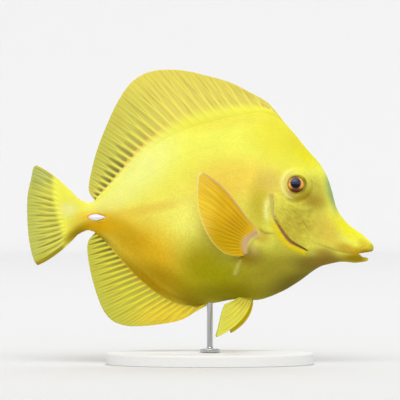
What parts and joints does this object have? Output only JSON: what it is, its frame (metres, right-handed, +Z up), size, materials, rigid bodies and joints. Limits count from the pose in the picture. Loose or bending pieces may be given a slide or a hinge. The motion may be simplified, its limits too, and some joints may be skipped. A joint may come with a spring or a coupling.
{
  "type": "yellow tang fish model",
  "caption": "Still life-size model of a yellow tang swimming, with spread ribbed fins and white tail spines, held over a plain oval base by one thin rod.",
  "frame": {"origin": "centre of the whole model seen from above, at the underside of the stand's base", "axes": "+X towards the fish's head, +Z up, +Y towards the fish's left side"},
  "size_m": [0.1735, 0.06, 0.1475],
  "materials": {
    "skin": "bright yellow skin with fine scales, slightly wet",
    "fin": "thin yellow fin with rays",
    "eye": "wet dark eye with a brown iris",
    "spine": "white, satin",
    "base": "pale grey paint, satin",
    "rod": "brushed"
  },
  "bodies": {
    "root": {"head": "skin", "lower_jaw": "skin", "torso": "skin", "tail_peduncle": "skin", "gill_cover_left": "skin", "gill_cover_right": "skin", "dorsal_fin": "fin", "anal_fin": "fin", "caudal_fin": "fin", "pectoral_fin_left": "fin", "pectoral_fin_right": "fin", "pelvic_fin_left": "fin", "pelvic_fin_right": "fin", "eye_left": "eye", "eye_right": "eye", "tail_spine_left": "spine", "tail_spine_right": "spine", "stand_base": "base", "stand_rod": "rod"}
  },
  "joints": []
}
